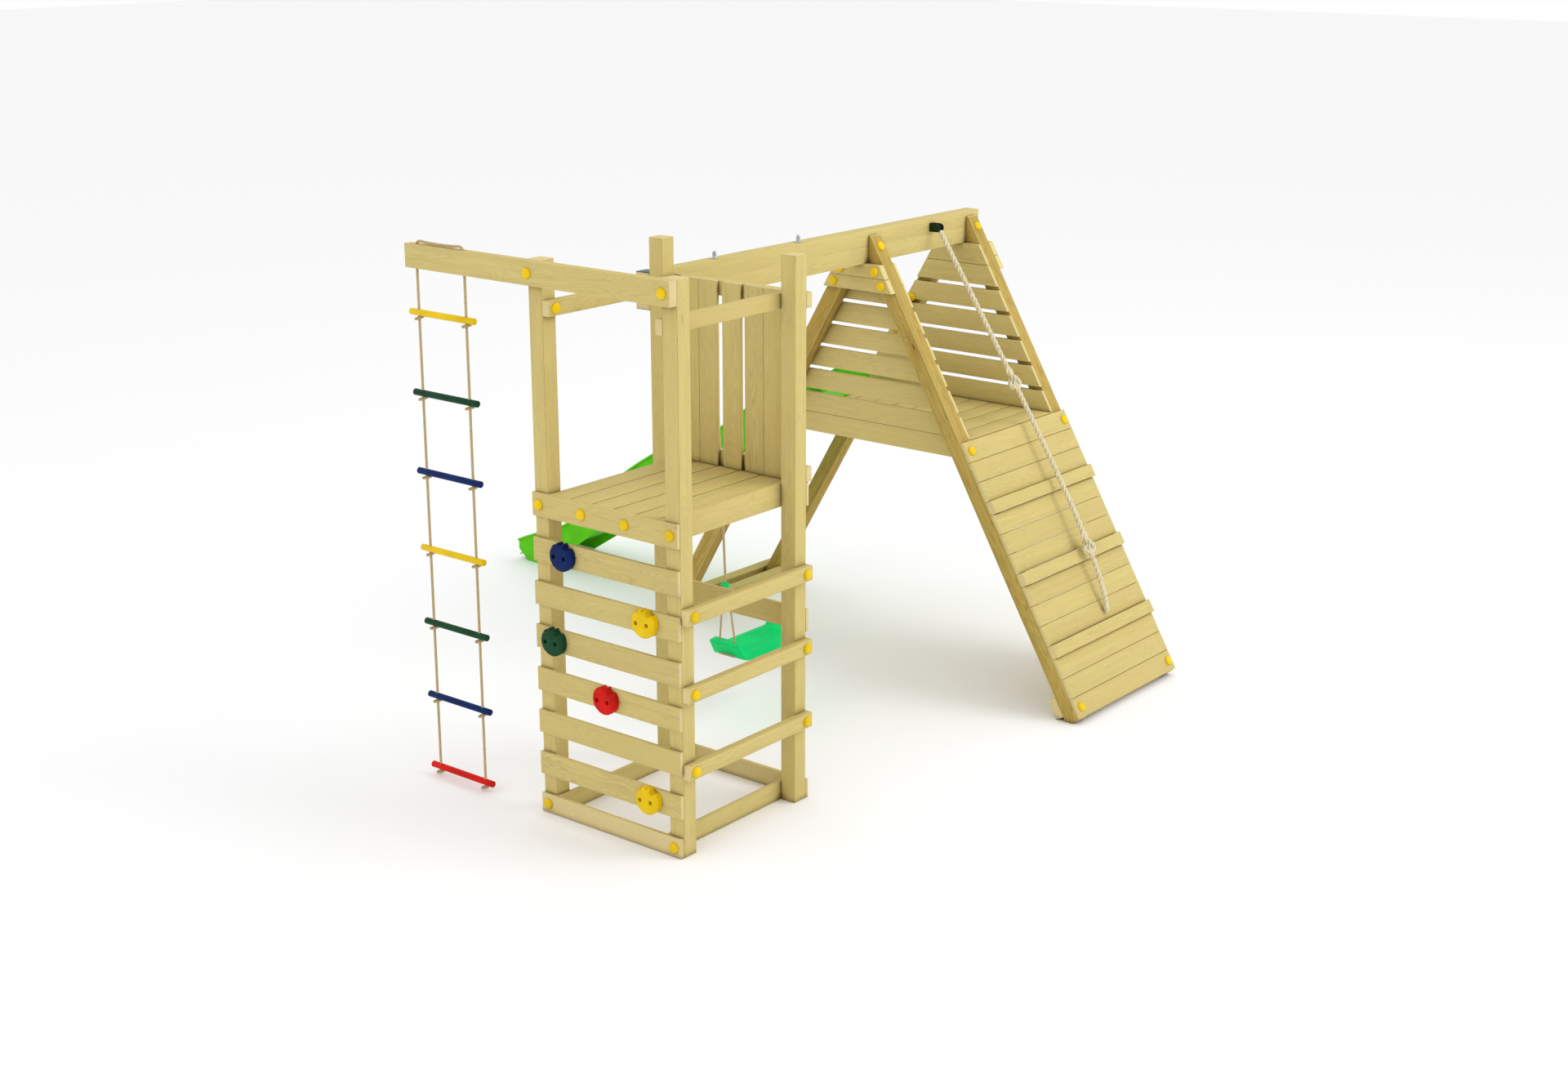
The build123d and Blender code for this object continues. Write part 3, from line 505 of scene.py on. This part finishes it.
def clover_joints():
    """The two four-lobed joints where each swing rope splits in two."""
    low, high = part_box("rope_joints")
    reach = (high.z - low.z) / 2
    quarter_turn = Matrix.Rotation(math.radians(90), 3, "X")
    shape = bmesh.new()
    for x in (low.x + reach, high.x - reach):
        ring = bmesh.ops.create_circle(shape, cap_ends=True, segments=48, radius=reach)["verts"]
        for vertex in ring:
            turn = math.atan2(vertex.co.y, vertex.co.x)
            vertex.co *= 0.82 + 0.18 * math.cos(4 * turn)
        bmesh.ops.rotate(shape, verts=ring, cent=(0, 0, 0), matrix=quarter_turn)
        bmesh.ops.translate(shape, verts=ring, vec=(x, high.y, (low.z + high.z) / 2))
        lid = ring[0].link_faces[0]
        grown = bmesh.ops.extrude_face_region(shape, geom=[lid])["geom"]
        moved = [item for item in grown if isinstance(item, bmesh.types.BMVert)]
        bmesh.ops.translate(shape, verts=moved, vec=(0, low.y - high.y, 0))
    bmesh.ops.recalc_face_normals(shape, faces=shape.faces)
    soften(shape, 0.002, 3, least=60)
    return finish_piece(shape, "clover_joints", mint, "swing", ["rope_joints"])


seat_moulding()
clover_joints()


# ---- ropes -------------------------------------------------------------------------------------
def route_points(name, places, step):
    """Points along the smooth line that a rope's route steers, about a step apart."""
    curve = bpy.data.curves.new(name + "_route", "CURVE")
    curve.dimensions = "3D"
    spline = curve.splines.new("NURBS")
    spline.points.add(len(places) - 1)
    for point, place in zip(spline.points, places):
        point.co = (*place, 1)
    spline.order_u = min(3, len(places))
    spline.use_endpoint_u = True
    curve.resolution_u = 24
    carrier = bpy.data.objects.new(name + "_route", curve)
    line = bpy.data.meshes.new_from_object(carrier)
    rough = [vertex.co.copy() for vertex in line.vertices]
    bpy.data.meshes.remove(line)
    bpy.data.objects.remove(carrier)
    bpy.data.curves.remove(curve)
    total = sum((b - a).length for a, b in zip(rough, rough[1:]))
    count = max(2, round(total / step))
    points = []
    for i in range(count + 1):
        want = total * i / count
        for a, b in zip(rough, rough[1:]):
            length = (b - a).length
            if want <= length + 1e-9:
                points.append(a.lerp(b, min(1.0, want / length)))
                break
            want -= length
        else:
            points.append(rough[-1].copy())
    return points, total


def twisted(shape, points, diameter, turns_per_metre, sides=8, strands=3):
    """Lays strands in a helix along a line of points and adds them to a bmesh."""
    layers = shape.loops.layers.float_vector
    layer = layers.get("strand") or layers.new("strand")
    strand_r = diameter * 0.285
    offset = diameter * 0.27
    last = len(points) - 1
    side = (points[1] - points[0]).orthogonal().normalized()
    frames = []
    run = 0.0
    for i, point in enumerate(points):
        ahead = (points[min(i + 1, last)] - points[max(i - 1, 0)]).normalized()
        side = (side - ahead * side.dot(ahead)).normalized()
        if i:
            run += (point - points[i - 1]).length
        frames.append((point, ahead, side, ahead.cross(side), run))
    for strand in range(strands):
        rings = []
        for point, ahead, side, up, run in frames:
            turn = math.tau * (strand / strands + run * turns_per_metre)
            centre = point + (side * math.cos(turn) + up * math.sin(turn)) * offset
            ring = []
            for i in range(sides):
                angle = math.tau * i / sides
                around = side * math.cos(angle) + up * math.sin(angle)
                ring.append(shape.verts.new(centre + around * strand_r))
            rings.append((ring, run))
        for (ring, run), (after, run_after) in zip(rings, rings[1:]):
            for i in range(sides):
                j = (i + 1) % sides
                face = shape.faces.new((ring[i], ring[j], after[j], after[i]))
                corners = ((run, i), (run, i + 1), (run_after, i + 1), (run_after, i))
                for loop, (length, step) in zip(face.loops, corners):
                    loop[layer] = (length + strand, step / sides, strand)
        shape.faces.new(list(reversed(rings[0][0])))
        shape.faces.new(rings[-1][0])


def rope(name, places, diameter, fibre, body, nodes, turns):
    """One twisted rope along a route of places."""
    shape = bmesh.new()
    points, length = route_points(name, places, diameter * 0.42)
    twisted(shape, points, diameter, turns)
    piece = finish_piece(shape, name, fibre, body, nodes, 60)
    return piece


# Places below are in millimetres, as at() takes them.
beam_mid = 876.0
swing_mid_x = 1563.5
hangers = (("left", 1251.0, 1), ("right", 1876.0, -1))    # name, place along the beam, way inwards
swing_lean = 61.0
chain_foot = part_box("swing_chains")[0].z * 1000
joint_z = 728.0
joint_spread = 13.2
seat_spread = 49.0
for side_name, x, inward in hangers:
    joint_x = x + inward * swing_lean
    places = [at(x, beam_mid, chain_foot - 0.3), at(joint_x, beam_mid, joint_z + 13)]
    rope("upper_rope_" + side_name, places, 0.012, beige_fibre, "swing",
         ["swing_rope_" + side_name], 24)
lower = 0
for side_name, x, inward in hangers:
    for side in (-1, 1):
        joint_x = x + inward * swing_lean
        start = at(joint_x, beam_mid + side * joint_spread, joint_z - 14)
        end = at(swing_mid_x - inward * 240, beam_mid + side * seat_spread, 433.3)
        lower += 1
        rope("lower_rope_%d" % lower, [start, end], 0.0096, beige_fibre, "swing",
             ["seat_ropes"] if lower == 1 else [], 30)

for side_name, x, inward in hangers:
    under_x = swing_mid_x - inward * 244
    under = [at(under_x, beam_mid + y, 363.0) for y in (-seat_spread, seat_spread)]
    rope("rope_under_seat_" + side_name, under, 0.0096, beige_fibre, "swing", [], 30)

rope_x = -22.0
inner_y, outer_y = 1198.0, 1498.0
top = 2512.0
beam_under = 2395.0
over = [
    (inner_y, beam_under), (inner_y, 2440), (inner_y, top + 6), (1270, top - 2),
    (1426, top - 2), (outer_y, top + 6), (outer_y, 2440), (outer_y, beam_under),
]
rope("rope_over_beam", [at(rope_x, y, z) for y, z in over], 0.012, beige_fibre, "frame",
     ["ladder_top_rope"], 24)
for rope_name, y in (("ladder_rope_inner", inner_y), ("ladder_rope_outer", outer_y)):
    places = [at(rope_x, y, 2394.5), at(rope_x, y, 9.5)]
    rope("side_" + rope_name, places, 0.012, beige_fibre, "rope_ladder", [rope_name], 24)

pin_y, pin_z = 790.0, 2289.0
eye_reach = 20
climb_x = 2943.0
climb_route = ((222.0, 1439.0), (-290, 590), (-312, 417))
first = Vector((0, climb_route[0][0] - pin_y, climb_route[0][1] - pin_z)).normalized() * eye_reach
climb = [at(climb_x, pin_y + first.y, pin_z + first.z)]
for y, z in climb_route:
    climb.append(at(climb_x, y, z))


# ---- knots -------------------------------------------------------------------------------------
def figure_eight(name, centre, axis, half_length, half_width, thick, fibre, body, nodes):
    """A figure-of-eight knot drawn up round its own rope: two loops that cross over each other."""
    shape = bmesh.new()
    side = Vector((1, 0, 0))
    out = axis.cross(side).normalized()
    steps = 120
    points = []
    for i in range(steps + 1):
        t = math.tau * i / steps
        along = axis * (half_length - thick / 2) * math.cos(t)
        across = side * (half_width - thick / 2) * math.sin(2 * t)
        lift = out * thick * 0.55 * math.sin(t)
        points.append(centre + along + across + lift)
    twisted(shape, points, thick, 0.3 / thick, sides=8)
    return finish_piece(shape, name, fibre, body, nodes, 60)


knot_shares = (0.4, 0.83)        # how far down the climbing rope each knot is tied
climb_points = route_points("climb", climb, 0.01)[0]
for index, share in enumerate(knot_shares):
    i = round(share * (len(climb_points) - 1))
    axis = (climb_points[i + 1] - climb_points[i - 1]).normalized()
    figure_eight("climbing_knot_%d" % (index + 1), climb_points[i], axis, 0.062, 0.036, 0.025,
                     cream_fibre, "climbing_rope_body", ["rope_knots"] if index == 0 else [])
rope("climbing_rope_laid", climb, 0.026, cream_fibre, "climbing_rope_body", ["climbing_rope"], 11)

# Each rung of the rope ladder rests on two turns of rope, drawn tight at a slant.
rung_heights = (2196, 1832, 1469, 1108, 754, 396, 44)
knot_drop = 24.5
knot_steps = 48
ladder_knots = bmesh.new()
knot_chance = random.Random(3)
for z in rung_heights:
    for y in (inner_y, outer_y):
        centre = at(rope_x, y, z - knot_drop)
        wide = Vector((0.60, -0.75, 0.30 + knot_chance.uniform(-0.12, 0.06))).normalized()
        deep = Vector((0.78, 0.63, 0.0)).normalized()
        points = []
        for i in range(knot_steps + 1):
            t = math.tau * i / knot_steps
            points.append(centre + wide * 0.0185 * math.cos(t) + deep * 0.0105 * math.sin(t))
        twisted(ladder_knots, points, 0.0105, 55, sides=6)
finish_piece(ladder_knots, "ladder_knots_tied", beige_fibre, "rope_ladder", ["ladder_knots"], 60)

# ---- floor and light ---------------------------------------------------------------------------
floor_mesh = bpy.data.meshes.new("floor")
floor_shape = bmesh.new()
bmesh.ops.create_grid(floor_shape, x_segments=1, y_segments=1, size=60)
floor_shape.to_mesh(floor_mesh)
floor_shape.free()
floor = bpy.data.objects.new("floor", floor_mesh)
bpy.context.scene.collection.objects.link(floor)
floor_paint = bpy.data.materials.new("floor_paint")
floor_paint.use_nodes = True
floor_shader = floor_paint.node_tree.nodes["Principled BSDF"]
floor_shader.inputs["Base Color"].default_value = (0.93, 0.93, 0.94, 1)
floor_shader.inputs["Roughness"].default_value = 0.9
floor_mesh.materials.append(floor_paint)

world = bpy.data.worlds.new("studio")
bpy.context.scene.world = world
world.use_nodes = True
sky = world.node_tree.nodes["Background"]
sky.inputs["Color"].default_value = (1.0, 1.0, 1.0, 1)
sky.inputs["Strength"].default_value = 1.0


def softbox(name, place, target, size, power):
    """A large soft lamp that looks at a place."""
    lamp = bpy.data.lights.new(name, "AREA")
    lamp.size = size
    lamp.energy = power
    holder = bpy.data.objects.new(name, lamp)
    holder.location = place
    holder.rotation_euler = (Vector(target) - Vector(place)).to_track_quat("-Z", "Y").to_euler()
    bpy.context.scene.collection.objects.link(holder)


middle = (0, 0, 1.0)
softbox("key", (3.5, -8.5, 8.0), middle, 5.0, 330)
softbox("fill", (-9.0, 1.0, 6.0), middle, 6.0, 60)
bpy.context.scene.view_settings.view_transform = "Standard"
